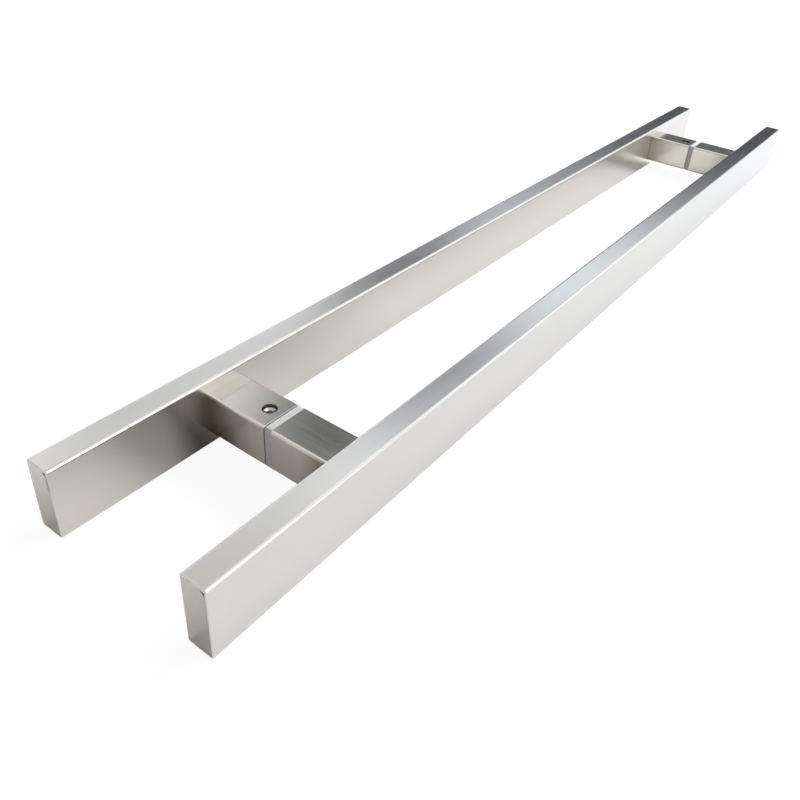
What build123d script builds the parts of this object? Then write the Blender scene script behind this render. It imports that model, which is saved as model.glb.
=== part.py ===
from build123d import *
import os
from math import sqrt

# Back-to-back flat bar door pull: two rectangular steel tubes lie on their narrow edges, held apart
# by two split square standoffs. The back standoffs slide over tapped blocks and are locked by set
# screws. The front standoffs hold tapped plugs, and a stud joins each block to its plug through a
# pair of square plastic door washers.
# Frame: +Y runs along the bars from the near end to the far end, +Z is up, the back bar is on the -X
# side. The origin is under the middle of the pair, on the surface that the bars lie on.

# Bars
fixing_centres = 600.0        # distance between the two standoffs
bar_overhang = 100.0          # bar end to standoff centre
bar_height = 40.0
bar_thickness = 15.0
bar_wall = 1.0
bar_corner_radius = 1.6
bar_bore_radius = 0.6
bar_end_rounding = 0.8        # ground edge round each end of a bar

# End caps, set flush into the bars
cap_thickness = 3.0
cap_clearance = 0.02
cap_corner_clip = 2.4         # clipped corner, left open as a vent when the cap is welded in

# Standoffs
standoff_length = 40.0
standoff_side = 25.0
standoff_wall = 2.5
standoff_corner_radius = 1.6
standoff_bore_radius = 0.5
standoff_end_chamfer = 0.15   # broken edge at the joint

# Joint between the two halves of a standoff
washer_thickness = 2.0
slip_gap = 0.8                # open gap between the back standoff and its washer

# Fixings inside a standoff
stud_diameter = 8.0
stud_end_inset = 1.0          # stud end to the outer end of its plug or block
stud_hole_clearance = 0.25    # radial, where the stud passes through a washer
thread_clearance = 0.05       # radial, between a thread's two sides
plug_length = 18.0
plug_clearance = 0.05
block_length = 22.0
block_clearance = 0.2         # each side, between the block and the standoff that slides over it
block_slot_depth = 4.15       # slot across the block's top, which the set screw's tip seats in
block_slot_clearance = 0.2    # each side of the tip

# Set screws
set_screw_diameter = 8.0
set_screw_inset = 8.0         # back standoff's open end to the screw's axis
set_screw_recess = 1.8        # standoff's top face to the screw's head
set_screw_tip_clearance = 0.05
set_screw_head_chamfer = 0.4
set_screw_tip_chamfer = 0.9
set_screw_socket = 4.0        # across the flats of the hex socket
set_screw_socket_depth = 3.0
set_screw_socket_chamfer = 1.0

# Sizes that follow from these
bar_length = fixing_centres + 2 * bar_overhang
bar_bore_thickness = bar_thickness - 2 * bar_wall
bar_bore_height = bar_height - 2 * bar_wall
axis_height = bar_height / 2
bar_gap = 2 * standoff_length + 2 * washer_thickness + slip_gap
back_bar_x = -(bar_gap + bar_thickness) / 2
front_bar_x = (bar_gap + bar_thickness) / 2

standoff_bore = standoff_side - 2 * standoff_wall
standoff_top = axis_height + standoff_side / 2
back_standoff_x = -bar_gap / 2
back_standoff_end_x = back_standoff_x + standoff_length
back_washer_x = back_standoff_end_x + slip_gap
front_washer_x = back_washer_x + washer_thickness
front_standoff_x = front_washer_x + washer_thickness

block_side = standoff_bore - 2 * block_clearance
block_top = axis_height + block_side / 2
block_x = back_washer_x - block_length
plug_side = standoff_bore - 2 * plug_clearance
plug_end_x = front_standoff_x + plug_length
stud_bore_radius = stud_diameter / 2 + thread_clearance
stud_x = block_x + stud_end_inset
stud_length = plug_end_x - stud_end_inset - stud_x

set_screw_x = back_standoff_end_x - set_screw_inset
set_screw_head_z = standoff_top - set_screw_recess
set_screw_tip_z = block_top - block_slot_depth + set_screw_tip_clearance
set_screw_length = set_screw_head_z - set_screw_tip_z

joint_ends = {"near": -fixing_centres / 2, "far": fixing_centres / 2}


def plane_along_x(x, y):
    """Plane at the standoffs' height that faces +X, with its own x along +Y and its own y up."""
    return Plane(origin=(x, y, axis_height), x_dir=(0, 1, 0), z_dir=(1, 0, 0))


def plane_along_y(x, y):
    """Plane at the bars' middle height that faces +Y, with its own x along +X and its own y down."""
    return Plane(origin=(x, y, axis_height), x_dir=(1, 0, 0), z_dir=(0, 1, 0))


def bar(centre_x):
    """Rectangular tube along Y, its outer edges rounded at both ends."""
    start = plane_along_y(centre_x, -bar_length / 2)
    body = extrude(start * RectangleRounded(bar_thickness, bar_height, bar_corner_radius), bar_length)
    ends = body.faces().sort_by(Axis.Y)
    rims = ends[0].edges() + ends[-1].edges()
    body = fillet(rims, bar_end_rounding)
    bore = RectangleRounded(bar_bore_thickness, bar_bore_height, bar_bore_radius)
    return body - extrude(start * bore, bar_length)


def end_cap(centre_x, start_y):
    """Plate that fills a bar's end, with the upper corner on its +X side clipped off."""
    width = bar_bore_thickness - 2 * cap_clearance
    height = bar_bore_height - 2 * cap_clearance
    clip_side = cap_corner_clip * sqrt(2)
    clip = Pos(width / 2, -height / 2) * Rectangle(clip_side, clip_side, rotation=45)
    outline = RectangleRounded(width, height, bar_bore_radius) - clip
    return extrude(plane_along_y(centre_x, start_y) * outline, cap_thickness)


def standoff(start_x, y, joint_side):
    """Square tube along X, its outer edges broken at the joint; joint_side is -1 or 0, an end's index."""
    start = plane_along_x(start_x, y)
    outline = RectangleRounded(standoff_side, standoff_side, standoff_corner_radius)
    body = extrude(start * outline, standoff_length)
    joint_face = body.faces().sort_by(Axis.X)[joint_side]
    body = chamfer(joint_face.edges(), standoff_end_chamfer)
    bore = RectangleRounded(standoff_bore, standoff_bore, standoff_bore_radius)
    return body - extrude(start * bore, standoff_length)


def back_standoff(y):
    """Standoff with the set screw's hole through its top wall."""
    hole_radius = set_screw_diameter / 2 + thread_clearance
    hole_length = 3 * standoff_wall  # centred on the top face, so that it clears the wall below
    hole = Pos(set_screw_x, y, standoff_top) * Cylinder(hole_radius, hole_length)
    return standoff(back_standoff_x, y, -1) - hole


def front_standoff(y):
    """Plain standoff, closed at the joint by its plug."""
    return standoff(front_standoff_x, y, 0)


def threaded_plug(y):
    """Square block in the front standoff's joint end, with the stud's tapped hole."""
    outline = RectangleRounded(plug_side, plug_side, standoff_bore_radius) - Circle(stud_bore_radius)
    return extrude(plane_along_x(front_standoff_x, y) * outline, plug_length)


def washer(start_x, y):
    """Square door washer of the standoff's outline, with a hole for the stud."""
    outline = RectangleRounded(standoff_side, standoff_side, standoff_corner_radius)
    hole = Circle(stud_diameter / 2 + stud_hole_clearance)
    return extrude(plane_along_x(start_x, y) * (outline - hole), washer_thickness)


def fixing_block(y):
    """Square block on the stud, with a slot across its top for the set screw and a tapped hole."""
    outline = RectangleRounded(block_side, block_side, standoff_bore_radius) - Circle(stud_bore_radius)
    body = extrude(plane_along_x(block_x, y) * outline, block_length)
    slot_width = set_screw_diameter + 2 * block_slot_clearance
    slot = Box(slot_width, block_side, 2 * block_slot_depth)
    return body - Pos(set_screw_x, y, block_top) * slot


def stud(y):
    """Round stud along X."""
    return extrude(plane_along_x(stud_x, y) * Circle(stud_diameter / 2), stud_length)


def set_screw(y):
    """Headless screw with a chamfered tip and a countersunk hex socket, driven in from the top."""
    base = Plane((set_screw_x, y, set_screw_tip_z))
    body = extrude(base * Circle(set_screw_diameter / 2), set_screw_length)
    rims = body.edges().filter_by(GeomType.CIRCLE).sort_by(Axis.Z)
    body = chamfer(rims[-1], set_screw_head_chamfer)
    tip = body.edges().filter_by(GeomType.CIRCLE).sort_by(Axis.Z)[0]
    body = chamfer(tip, set_screw_tip_chamfer)
    floor = Plane((set_screw_x, y, set_screw_head_z - set_screw_socket_depth))
    hexagon = RegularPolygon(set_screw_socket / 2, 6, major_radius=False)
    corner_radius = set_screw_socket / sqrt(3)
    mouth_radius = corner_radius + set_screw_socket_chamfer
    mouth_z = set_screw_head_z - set_screw_socket_chamfer / 2
    mouth = Pos(set_screw_x, y, mouth_z) * Cone(corner_radius, mouth_radius, set_screw_socket_chamfer)
    return body - extrude(floor * hexagon, set_screw_socket_depth) - mouth


nodes = {}
for side, bar_x in {"back": back_bar_x, "front": front_bar_x}.items():
    nodes[f"{side}_bar"] = bar(bar_x)
    nodes[f"{side}_bar_near_cap"] = end_cap(bar_x, -bar_length / 2)
    nodes[f"{side}_bar_far_cap"] = end_cap(bar_x, bar_length / 2 - cap_thickness)

for end, joint_y in joint_ends.items():
    nodes[f"back_{end}_standoff"] = back_standoff(joint_y)
    nodes[f"front_{end}_standoff"] = front_standoff(joint_y)
    nodes[f"{end}_threaded_plug"] = threaded_plug(joint_y)
    nodes[f"{end}_stud"] = stud(joint_y)
    nodes[f"{end}_fixing_block"] = fixing_block(joint_y)
    nodes[f"{end}_back_washer"] = washer(back_washer_x, joint_y)
    nodes[f"{end}_front_washer"] = washer(front_washer_x, joint_y)
    nodes[f"{end}_set_screw"] = set_screw(joint_y)

os.makedirs("parts", exist_ok=True)
for name, shape in nodes.items():
    export_step(shape, f"parts/{name}.step")
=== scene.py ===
import bpy
from collections import namedtuple
from math import radians, tan
from mathutils import Matrix, Vector


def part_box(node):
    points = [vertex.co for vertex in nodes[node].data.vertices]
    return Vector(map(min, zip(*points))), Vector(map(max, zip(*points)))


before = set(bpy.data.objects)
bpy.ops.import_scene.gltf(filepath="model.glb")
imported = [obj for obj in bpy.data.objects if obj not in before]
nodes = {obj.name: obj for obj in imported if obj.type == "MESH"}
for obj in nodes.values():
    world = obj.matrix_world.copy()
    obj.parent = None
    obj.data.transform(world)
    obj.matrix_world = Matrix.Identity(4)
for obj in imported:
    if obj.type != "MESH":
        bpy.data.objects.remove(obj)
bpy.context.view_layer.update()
scene = bpy.context.scene

Patch = namedtuple("Patch", "offset fade_x fade_y tint")
Panel = namedtuple("Panel", "azimuth elevation soft tint")
Streaks = namedtuple("Streaks", "width length detail")

# Camera, at the photograph's viewing angle
camera_position = Vector((0.2214, -0.5192, 0.2780))
camera_azimuth = radians(33.12)       # from +Y towards -X
camera_elevation = radians(32.79)     # below the horizon
camera_roll = radians(4.84)
camera_lens = 35.33                   # millimetres
camera_sensor = 36.0                  # millimetres
camera_shift_x = -0.03
camera_shift_y = -0.06875

# White table and backdrop, which only the camera sees
white = (1.0, 1.0, 1.0)
floor_size = 12.0
table_colour = (0.1, 0.1, 0.1)
table_glow = 0.92
backdrop_radius = 8.0
backdrop_colour = (0.0, 0.0, 0.0)
backdrop_glow = 1.0
stage_roughness = 0.9
stage_specular = 0.1

# Floor that the object sees and the camera doesn't, in metres
bounce_depth = 0.0002                 # under the table
# painted shade: the floor's colour turns darker and cooler away from the camera
bounce_near_colour = (0.95, 0.93, 0.895)
bounce_far_colour = (0.56, 0.568, 0.58)
bounce_fade = (-0.42, 0.6)            # along Y, from the near colour to the far one
cool_shade_tint = (0.915, 0.94, 0.97)      # painted cool shade, from the front bar to the right
corner_reach = (0.036, 0.0195)        # shaded corner, along the near standoff and along the back bar
corner_fade = (0.35, 1.25)            # in shares of that reach
corner_tint = (0.23, 0.22, 0.2)
light_and_shade_patches = {                     # painted light by the far standoff and painted shade behind the near one; offset from the standoff's foot at the back bar
    "back_far_standoff": Patch((0.0, 0.0), (0.03, 0.06), (0.03, 0.07), (1.42, 1.42, 1.42)),
    "back_near_standoff": Patch((0.042, 0.07), (0.0, 0.07), (0.0, 0.1), (0.72, 0.72, 0.72)),
}

# Studio that the steel reflects: a bright tent, a dimmer room behind the camera, and panels that dim
# or brighten a part of the tent. Angles in degrees, azimuth from +Y towards -X.
tent_level = 1.25
room_tint = (0.62, 0.62, 0.62)
room_fade = (-0.35, 0.1)              # along Y on the unit sphere, from the room to the tent
studio_panels = {
    "dark_gap": Panel((-8, 36), (-2, 22.3), 4.0, (0.015, 0.018, 0.022)),
    "dark_rail": Panel((4, 65), (31.5, 37.5), 4.0, (0.075, 0.08, 0.09)),
    "dark_post": Panel((30, 42), (20, 39), 4.0, (0.018, 0.02, 0.024)),
    "lamp": Panel((11, 64), (20, 57), 9.5, (1.27, 1.3, 1.32)),
    "cool_wall": Panel((-6, 39), (6, 46), 6.0, (0.96, 1.0, 1.045)),
    "ceiling": Panel((38, 69), (42, 75), 4.0, (0.44, 0.43, 0.41)),
    "window": Panel((-88, -52), (14, 58), 8.0, (2.0, 2.0, 2.0)),
    "side_window": Panel((-38, -23), (3, 40), 4.0, (1.45, 1.47, 1.5)),
}

# Lights that matt surfaces see: a softbox beyond the far end, on the right, and a faint sky
key_position = Vector((0.7, 1.53, 0.95))
key_width = 2.4
key_height = 1.7
key_power = 109.0
fill_direction = Vector((0, 0, 1))
fill_softness = radians(150)
fill_strength = 1.3

# Brushed steel: streaks and blotches in metres, and how far they change tone, roughness and relief
steel = (0.64, 0.628, 0.608)
warm_steel = (0.645, 0.625, 0.565)    # standoffs
machined_colour = (0.55, 0.55, 0.54)
fine_streaks = Streaks(0.0003, 0.03, 3.0)
broad_streaks = Streaks(0.001, 0.12, 2.0)
blotches = Streaks(0.035, 0.105, 2.0)
noise_roughness = 0.6
tone_span = (1.1, 1.9)                # of the three noises' sum
tone_swing = 0.025                    # share of the colour
roughness_span = (1.0, 2.0)           # of the same sum
roughness_swing = 0.025
streak_relief = 0.00004
streak_strength = 0.25
grain_turn = 0.25                     # of a full turn, from the grain to the anisotropic axis

# Faces of the near standoffs lean a little, as ground by hand
standoff_lean = radians(6)

# Painted shade on the standoffs' sides where they meet the bars, in metres from the bar
joint_shade_reach = 0.024
joint_shade_tint = (0.3, 0.285, 0.22)
joint_shade_crease = 0.002                   # painted dark line in the corner itself
joint_shade_facing = (0.5, 0.95)             # sideways part of a face's normal, from no painted shade to full shade
far_joint_shade_share = 0.58                 # the far joint's painted shade, as a share of the near one's
joint_change = (-0.01, 0.01)          # along Y, from the near joint's strength to the far one's

# Painted shade on the wall of a set screw's tapped hole, standing in for the shade between its threads;
# shares are of the screw's radius
hole_shade_tint = (0.3, 0.3, 0.3)
tapped_rim = 0.0002                   # plain rim above the first thread
tapped_share = 1.05                   # just outside the hole's wall
thread_share = 0.85                   # outside it lies the screw's thread, inside it the socket

# Seam round the end caps, in metres: a faint broken line, which is wider and darker at one place on
# the inner side of the back bar's near end
seam_width = 0.0003
seam_core = 1 / 3                     # share of a seam's width that has its full shade
seam_patches = Streaks(0.006, 0.006, 1.0)
seam_span = (0.45, 0.7)               # of the patches' noise, from no line to the full line
seam_shade = 0.35
seam_tint = (0.1, 0.1, 0.1)
seam_roughness = 0.4                  # added in the seam
open_seam_width = 0.001
open_seam_shade = 0.5
open_seam_heights = (0.027, 0.038)
open_seam_fade = 0.25                 # share of that height, at either end

# Threaded steel
stud_colour = (0.5, 0.5, 0.5)
screw_colour = (0.5, 0.49, 0.48)
stud_pitch = 0.00125
set_screw_pitch = 0.00125
thread_strength = 0.8
thread_blotch_turns = 2.0             # size of a blotch, in pitches
thread_blotch_detail = 3.0
thread_tones = (0.85, 1.1)            # shares of the colour
thread_roughness_swing = 0.06

# Milky plastic of the washers
plastic_clouds = Streaks(0.004, 0.004, 2.0)
plastic_grain = Streaks(0.0003, 0.0003, 2.0)
plastic_dark = (0.47, 0.47, 0.475)
plastic_light = (0.53, 0.53, 0.535)
plastic_roughness = (0.36, 0.52)
plastic_relief = 0.00005
plastic_strength = 0.2
plastic_ior = 1.49

noise_span = (0.3, 0.7)               # most of a single noise's values


def make_camera():
    data = bpy.data.cameras.new("camera")
    data.lens = camera_lens
    data.sensor_width = camera_sensor
    data.shift_x = camera_shift_x
    data.shift_y = camera_shift_y
    camera = bpy.data.objects.new("camera", data)
    scene.collection.objects.link(camera)
    turn = Matrix.Rotation(camera_azimuth, 4, "Z")
    tilt = Matrix.Rotation(radians(90) - camera_elevation, 4, "X")
    roll = Matrix.Rotation(camera_roll, 4, "Z")
    camera.matrix_world = Matrix.Translation(camera_position) @ turn @ tilt @ roll
    scene.camera = camera


def set_inputs(tree, node, inputs):
    """Sets sockets, given by name or index, to values or to the sockets that feed them."""
    for socket, value in inputs.items():
        if isinstance(value, bpy.types.NodeSocket):
            tree.links.new(value, node.inputs[socket])
        else:
            node.inputs[socket].default_value = value


def add_node(tree, kind, inputs=None, **settings):
    node = tree.nodes.new(kind)
    for key, value in settings.items():
        setattr(node, key, value)
    set_inputs(tree, node, inputs or {})
    return node


def calc(tree, operation, *values):
    return add_node(tree, "ShaderNodeMath", dict(enumerate(values)), operation=operation).outputs[0]


def product(tree, values):
    result = values[0]
    for value in values[1:]:
        result = calc(tree, "MULTIPLY", result, value)
    return result


def distance_between(tree, value, other):
    return calc(tree, "ABSOLUTE", calc(tree, "SUBTRACT", value, other))


def map_range(tree, value, low, high, to_low, to_high, kind="LINEAR"):
    inputs = {0: value, 1: low, 2: high, 3: to_low, 4: to_high}
    return add_node(tree, "ShaderNodeMapRange", inputs, interpolation_type=kind).outputs["Result"]


def colour_between(tree, value, span, low, high):
    """Colour that goes from low to high while the value goes through the span."""
    share = map_range(tree, value, *span, 0.0, 1.0)
    node = add_node(tree, "ShaderNodeValToRGB", {"Fac": share})
    for element, colour in zip(node.color_ramp.elements, (low, high)):
        element.color = (*colour, 1.0)
    return node.outputs["Color"]


def tinted(tree, colour, cover, tint):
    """Colour multiplied by the tint where the cover is 1."""
    inputs = {"Fac": cover, "Color1": colour, "Color2": (*tint, 1.0)}
    return add_node(tree, "ShaderNodeMixRGB", inputs, blend_type="MULTIPLY").outputs[0]


def relief(tree, height, strength, depth=1.0, normal=None):
    """Normal of a surface that the height raises, on top of another normal if one is given."""
    inputs = {"Height": height, "Strength": strength, "Distance": depth}
    if normal is not None:
        inputs["Normal"] = normal
    return add_node(tree, "ShaderNodeBump", inputs).outputs[0]


def object_place(tree):
    """Place on the object, as a vector and as its x, y and z."""
    place = add_node(tree, "ShaderNodeTexCoord").outputs["Object"]
    return place, add_node(tree, "ShaderNodeSeparateXYZ", {0: place}).outputs


def stretched_noise(tree, place, grain, streaks):
    """Noise drawn out along the grain axis."""
    scale = Vector((1 / streaks.width, 1 / streaks.width, 1 / streaks.width))
    scale["XYZ".index(grain)] = 1 / streaks.length
    mapping = add_node(tree, "ShaderNodeMapping", {"Vector": place, "Scale": scale})
    noise = {
        "Vector": mapping.outputs[0],
        "Scale": 1.0,
        "Detail": streaks.detail,
        "Roughness": noise_roughness,
    }
    return add_node(tree, "ShaderNodeTexNoise", noise).outputs["Fac"]


def panel_cover(tree, azimuth, elevation, panel):
    """1 inside the panel, 0 outside it, with a soft rim."""
    edges = []
    for angle, (low, high) in ((azimuth, panel.azimuth), (elevation, panel.elevation)):
        for edge, outside, inside in ((low, 0.0, 1.0), (high, 1.0, 0.0)):
            start = radians(edge - panel.soft)
            end = radians(edge + panel.soft)
            edges.append(map_range(tree, angle, start, end, outside, inside, "SMOOTHSTEP"))
    return product(tree, edges)


def make_world():
    """Tent and panels that only reflections see."""
    world = bpy.data.worlds.new("studio")
    scene.world = world
    world.use_nodes = True
    world.cycles_visibility.diffuse = False
    tree = world.node_tree
    tree.nodes.clear()
    direction = add_node(tree, "ShaderNodeTexCoord").outputs["Generated"]
    x, y, z = add_node(tree, "ShaderNodeSeparateXYZ", {0: direction}).outputs
    azimuth = calc(tree, "ARCTAN2", calc(tree, "MULTIPLY", x, -1.0), y)
    elevation = calc(tree, "ARCSINE", z)
    behind = map_range(tree, y, *room_fade, 1.0, 0.0, "SMOOTHSTEP")
    colour = tinted(tree, (*white, 1.0), behind, room_tint)
    for panel in studio_panels.values():
        colour = tinted(tree, colour, panel_cover(tree, azimuth, elevation, panel), panel.tint)
    background = add_node(tree, "ShaderNodeBackground", {"Color": colour, "Strength": tent_level})
    add_node(tree, "ShaderNodeOutputWorld", {"Surface": background.outputs[0]})


def add_light(data, direction):
    """Light that shines from the given direction, left out of reflections."""
    light = bpy.data.objects.new(data.name, data)
    scene.collection.objects.link(light)
    light.rotation_euler = direction.to_track_quat("Z", "Y").to_euler()
    light.visible_camera = False
    light.visible_glossy = False
    return light


def make_lights():
    key = bpy.data.lights.new("key_light", "AREA")
    key.shape = "RECTANGLE"
    key.size = key_width
    key.size_y = key_height
    key.energy = key_power
    add_light(key, key_position).location = key_position
    fill = bpy.data.lights.new("fill_light", "SUN")
    fill.angle = fill_softness
    fill.energy = fill_strength
    add_light(fill, fill_direction)


def new_material(name):
    """Material, its node tree and its shader."""
    material = bpy.data.materials.new(name)
    material.use_nodes = True
    tree = material.node_tree
    return material, tree, tree.nodes["Principled BSDF"]


def plain_material(name, colour, glow):
    """Matt material with a white glow."""
    material, tree, surface = new_material(name)
    set_inputs(tree, surface, {
        "Base Color": (*colour, 1.0),
        "Roughness": stage_roughness,
        "Specular IOR Level": stage_specular,
        "Emission Color": (*white, 1.0),
        "Emission Strength": glow,
    })
    return material


def corner_shade(tree, x, y):
    """1 on the floor where the near standoff's front meets the back bar, and 0 away from that corner."""
    low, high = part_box("back_near_standoff")
    from_bar = calc(tree, "SUBTRACT", x, low[0])
    from_standoff = calc(tree, "SUBTRACT", low[1], y)
    along_standoff = calc(tree, "DIVIDE", from_bar, corner_reach[0])
    along_bar = calc(tree, "DIVIDE", from_standoff, corner_reach[1])
    cover = [
        map_range(tree, calc(tree, "ADD", along_standoff, along_bar), *corner_fade, 1.0, 0.0),
        map_range(tree, from_standoff, low[1] - high[1], 0.0, 0.0, 1.0),
        calc(tree, "GREATER_THAN", from_bar, 0.0),
    ]
    return product(tree, cover)


def painted_patch_cover(tree, x, y, standoff, patch):
    """1 in the middle of a soft patch on the floor and 0 away from it; a tint above 1 paints light there,
    one below 1 paints shade.
    """
    low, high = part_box(standoff)
    centre_x = low[0] + patch.offset[0]
    centre_y = (low[1] + high[1]) / 2 + patch.offset[1]
    across = map_range(tree, distance_between(tree, x, centre_x), *patch.fade_x, 1.0, 0.0)
    along = map_range(tree, distance_between(tree, y, centre_y), *patch.fade_y, 1.0, 0.0)
    return calc(tree, "MULTIPLY", across, along)


def fading_material(name):
    """Matt floor with painted shade: darker and cooler away from the camera, cooler and darker right of the
    front bar, a shaded corner, and soft patches of painted light and shade.
    """
    material = plain_material(name, white, 0.0)
    tree = material.node_tree
    _, (x, y, _) = object_place(tree)
    # painted shade, darker and cooler away from the camera
    colour = colour_between(tree, y, bounce_fade, bounce_near_colour, bounce_far_colour)
    # painted cool shade right of the front bar
    on_right = calc(tree, "GREATER_THAN", x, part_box("front_bar_near_cap")[0][0])
    colour = tinted(tree, colour, on_right, cool_shade_tint)
    colour = tinted(tree, colour, corner_shade(tree, x, y), corner_tint)
    # painted light by the far standoff, painted shade behind the near one
    for standoff, patch in light_and_shade_patches.items():
        colour = tinted(tree, colour, painted_patch_cover(tree, x, y, standoff, patch), patch.tint)
    set_inputs(tree, tree.nodes["Principled BSDF"], {"Base Color": colour})
    return material


def only_for_camera(stage_object):
    stage_object.visible_diffuse = False
    stage_object.visible_glossy = False
    stage_object.visible_transmission = False
    stage_object.visible_shadow = False


def make_stage():
    """White table and backdrop that only the camera sees, and the floor that the object sees instead."""
    bpy.ops.mesh.primitive_plane_add(size=floor_size)
    table = bpy.context.object
    table.name = "table"
    table.data.materials.append(plain_material("table_white", table_colour, table_glow))
    only_for_camera(table)
    bpy.ops.mesh.primitive_plane_add(size=floor_size, location=(0, 0, -bounce_depth))
    bounce = bpy.context.object
    bounce.name = "bounce_floor"
    bounce.data.materials.append(fading_material("bounce_white"))
    bounce.visible_camera = False
    bpy.ops.mesh.primitive_uv_sphere_add(radius=backdrop_radius)
    backdrop = bpy.context.object
    backdrop.name = "backdrop"
    backdrop.data.materials.append(plain_material("backdrop_white", backdrop_colour, backdrop_glow))
    only_for_camera(backdrop)


def end_seam(tree, x, y, z):
    """1 in the dark seam round the end caps and 0 elsewhere."""
    low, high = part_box("front_bar_near_cap")
    centre = (Vector(low) + Vector(high)) / 2
    half = (Vector(high) - Vector(low)) / 2
    across = calc(tree, "SUBTRACT", calc(tree, "ABSOLUTE", x), centre.x)
    past_side = calc(tree, "SUBTRACT", calc(tree, "ABSOLUTE", across), half.x)
    past_top = calc(tree, "SUBTRACT", distance_between(tree, z, centre.z), half.z)
    distance = calc(tree, "ABSOLUTE", calc(tree, "MAXIMUM", past_side, past_top))
    at_end = calc(tree, "GREATER_THAN", calc(tree, "ABSOLUTE", y), -low[1] - seam_width)
    place = add_node(tree, "ShaderNodeCombineXYZ", {0: x, 1: y, 2: z}).outputs[0]
    patches = stretched_noise(tree, place, "Z", seam_patches)
    faint = map_range(tree, patches, *seam_span, 0.0, seam_shade)
    line = map_range(tree, distance, seam_core * seam_width, seam_width, 1.0, 0.0)
    wide_line = map_range(tree, distance, seam_core * open_seam_width, open_seam_width, 1.0, 0.0)
    bottom, top = open_seam_heights
    fade = open_seam_fade * (top - bottom)
    opened = [
        open_seam_shade,
        wide_line,
        calc(tree, "LESS_THAN", y, 0.0),
        calc(tree, "LESS_THAN", x, 0.0),
        calc(tree, "LESS_THAN", across, 0.0),
        map_range(tree, z, bottom, bottom + fade, 0.0, 1.0),
        map_range(tree, z, top - fade, top, 1.0, 0.0),
    ]
    shade = calc(tree, "MAXIMUM", product(tree, [line, faint]), product(tree, opened))
    return calc(tree, "MULTIPLY", shade, at_end)


def painted_joint_shade(tree, x, y):
    """Painted shade: 1 on the standoffs' sides at the bar's face, less at the far joint, and 0 away from
    the bars.
    """
    bar_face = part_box("front_bar")[0][0]
    from_bar = calc(tree, "SUBTRACT", bar_face, calc(tree, "ABSOLUTE", x))
    close = map_range(tree, from_bar, 0.0, joint_shade_reach, 1.0, 0.0, "SMOOTHSTEP")
    normal = add_node(tree, "ShaderNodeNewGeometry").outputs["True Normal"]
    sideways = calc(tree, "ABSOLUTE", add_node(tree, "ShaderNodeSeparateXYZ", {0: normal}).outputs["Y"])
    on_side = map_range(tree, sideways, *joint_shade_facing, 0.0, 1.0)
    strength = map_range(tree, y, *joint_change, 1.0, far_joint_shade_share)
    crease = map_range(tree, from_bar, 0.0, joint_shade_crease, 1.0, 0.0)
    joint_darkness = calc(tree, "MAXIMUM", calc(tree, "MULTIPLY", close, strength), crease)
    return calc(tree, "MULTIPLY", joint_darkness, on_side)


def from_screw_axis(tree, x, y):
    """Distance from the nearer set screw's axis, as a share of the screw's radius."""
    low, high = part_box("near_set_screw")
    centre = (Vector(low) + Vector(high)) / 2
    radius = (high[0] - low[0]) / 2
    away_x = calc(tree, "SUBTRACT", x, centre.x)
    away_y = calc(tree, "SUBTRACT", calc(tree, "ABSOLUTE", y), -centre.y)
    away = add_node(tree, "ShaderNodeCombineXYZ", {0: away_x, 1: away_y, 2: 0.0}).outputs[0]
    distance = add_node(tree, "ShaderNodeVectorMath", {0: away}, operation="LENGTH").outputs["Value"]
    return calc(tree, "DIVIDE", distance, radius)


def painted_hole_shade(tree, x, y, z):
    """Painted shade: 1 on the wall of a set screw's hole, under its rim."""
    rim_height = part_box("back_near_standoff")[1][2] - tapped_rim
    near_axis = calc(tree, "LESS_THAN", from_screw_axis(tree, x, y), tapped_share)
    return calc(tree, "MULTIPLY", near_axis, calc(tree, "LESS_THAN", z, rim_height))


def brushed_steel(name, grain, colour, roughness, anisotropy, lean=0.0, seam=False, shaded_joints_and_holes=False):
    """Satin steel brushed along the grain axis: streaked tone and roughness, and a fine relief.

    A lean turns upper faces towards +Y by that angle. With shaded joints and holes, painted shade darkens
    the standoffs' sides at the bars and the walls of the set screws' holes.
    """
    material, tree, surface = new_material(name)
    place, (x, y, z) = object_place(tree)
    fine = stretched_noise(tree, place, grain, fine_streaks)
    broad = stretched_noise(tree, place, grain, broad_streaks)
    blotch = stretched_noise(tree, place, grain, blotches)
    tone = calc(tree, "ADD", calc(tree, "ADD", fine, broad), blotch)
    dark = [(1 - tone_swing) * part for part in colour]
    light = [(1 + tone_swing) * part for part in colour]
    shade = colour_between(tree, tone, tone_span, dark, light)
    rough = map_range(tree, tone, *roughness_span, roughness - roughness_swing, roughness + roughness_swing)
    if seam:
        cover = end_seam(tree, x, y, z)
        shade = tinted(tree, shade, cover, seam_tint)
        rough = calc(tree, "ADD", rough, calc(tree, "MULTIPLY", cover, seam_roughness))
    # painted shade on the standoffs' sides at the bars and in the set screws' holes
    if shaded_joints_and_holes:
        shade = tinted(tree, shade, painted_joint_shade(tree, x, y), joint_shade_tint)
        shade = tinted(tree, shade, painted_hole_shade(tree, x, y, z), hole_shade_tint)
    leaning = None
    if lean:
        leaning = relief(tree, calc(tree, "MULTIPLY", y, -tan(lean)), strength=1.0)
    along = [float(axis == grain) for axis in "XYZ"]
    set_inputs(tree, surface, {
        "Base Color": shade,
        "Roughness": rough,
        "Normal": relief(tree, fine, streak_strength, streak_relief, leaning),
        "Tangent": add_node(tree, "ShaderNodeCombineXYZ", dict(enumerate(along))).outputs[0],
        "Metallic": 1.0,
        "Anisotropic": anisotropy,
        "Anisotropic Rotation": grain_turn,
    })
    return material


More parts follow.
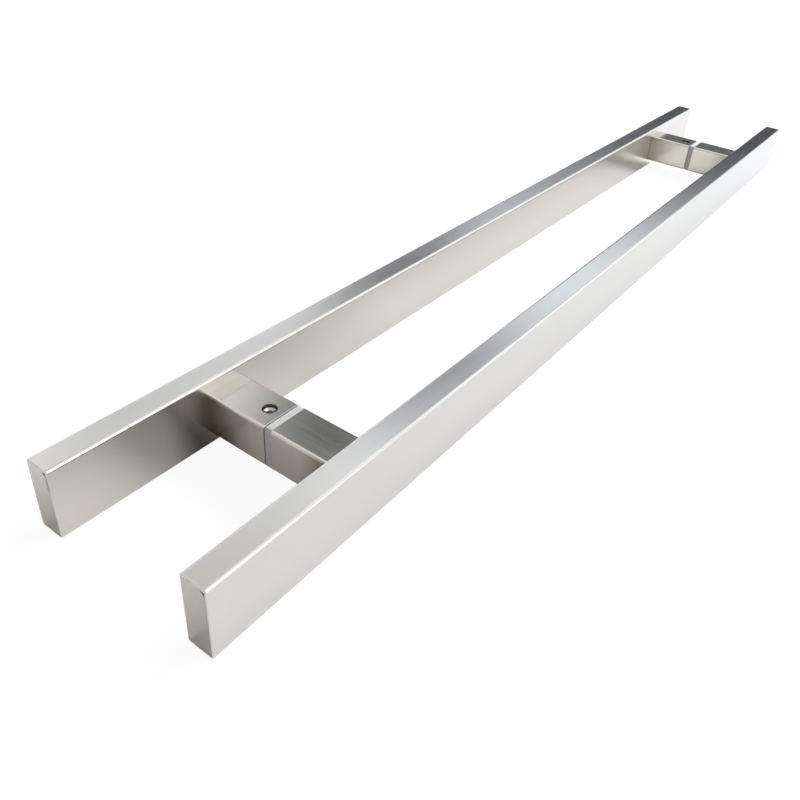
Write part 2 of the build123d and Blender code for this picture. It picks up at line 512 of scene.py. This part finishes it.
def threaded_steel(name, axis, pitch, colour, roughness, socket=False):
    """Turned steel with a blotched tone and thread rings along the axis.

    With a socket, the rings stay outside the set screw's socket.
    """
    material, tree, surface = new_material(name)
    place, (x, y, z) = object_place(tree)
    blotch_size = thread_blotch_turns * pitch
    blotch = stretched_noise(tree, place, axis, Streaks(blotch_size, blotch_size, thread_blotch_detail))
    dark, light = ([tone * part for part in colour] for tone in thread_tones)
    smooth = roughness - thread_roughness_swing
    rough = roughness + thread_roughness_swing
    rings = calc(tree, "PINGPONG", {"X": x, "Y": y, "Z": z}[axis], pitch / 2)
    if socket:
        outside = calc(tree, "GREATER_THAN", from_screw_axis(tree, x, y), thread_share)
        rings = calc(tree, "MULTIPLY", rings, outside)
    set_inputs(tree, surface, {
        "Base Color": colour_between(tree, blotch, noise_span, dark, light),
        "Roughness": map_range(tree, blotch, *noise_span, smooth, rough),
        "Normal": relief(tree, rings, thread_strength),
        "Metallic": 1.0,
    })
    return material


def milky_plastic(name):
    """Moulded plastic with a faint cloudy tone and a fine matt grain."""
    material, tree, surface = new_material(name)
    place, _ = object_place(tree)
    clouds = stretched_noise(tree, place, "X", plastic_clouds)
    grain = stretched_noise(tree, place, "X", plastic_grain)
    set_inputs(tree, surface, {
        "Base Color": colour_between(tree, clouds, noise_span, plastic_dark, plastic_light),
        "Roughness": map_range(tree, grain, *noise_span, *plastic_roughness),
        "Normal": relief(tree, grain, plastic_strength, plastic_relief),
        "IOR": plastic_ior,
    })
    return material


def dress(endings, material):
    """Gives the material to the pieces whose names end so."""
    for name in nodes:
        if name.endswith(endings):
            for slot in nodes[name].material_slots:
                slot.material = material


make_camera()
make_stage()
make_world()
make_lights()
scene.view_settings.view_transform = "Standard"

bar_steel = brushed_steel("bar_steel", "Y", steel, roughness=0.225, anisotropy=0.65, seam=True)
cap_steel = brushed_steel("cap_steel", "Z", steel, roughness=0.32, anisotropy=0.4, seam=True)
near_standoff_steel = brushed_steel(
    "near_standoff_steel", "X", warm_steel, roughness=0.22, anisotropy=0.6, lean=standoff_lean, shaded_joints_and_holes=True)
far_standoff_steel = brushed_steel(
    "far_standoff_steel", "X", warm_steel, roughness=0.16, anisotropy=0.6, shaded_joints_and_holes=True)
machined_steel = brushed_steel("machined_steel", "X", machined_colour, roughness=0.35, anisotropy=0.3)
stud_steel = threaded_steel("stud_steel", "X", stud_pitch, stud_colour, roughness=0.32)
screw_steel = threaded_steel("screw_steel", "Z", set_screw_pitch, screw_colour, roughness=0.16, socket=True)
washer_plastic = milky_plastic("washer_plastic")

dress("_bar", bar_steel)
dress("_cap", cap_steel)
dress("_near_standoff", near_standoff_steel)
dress("_far_standoff", far_standoff_steel)
dress(("_plug", "_block"), machined_steel)
dress("_stud", stud_steel)
dress("_screw", screw_steel)
dress("_washer", washer_plastic)
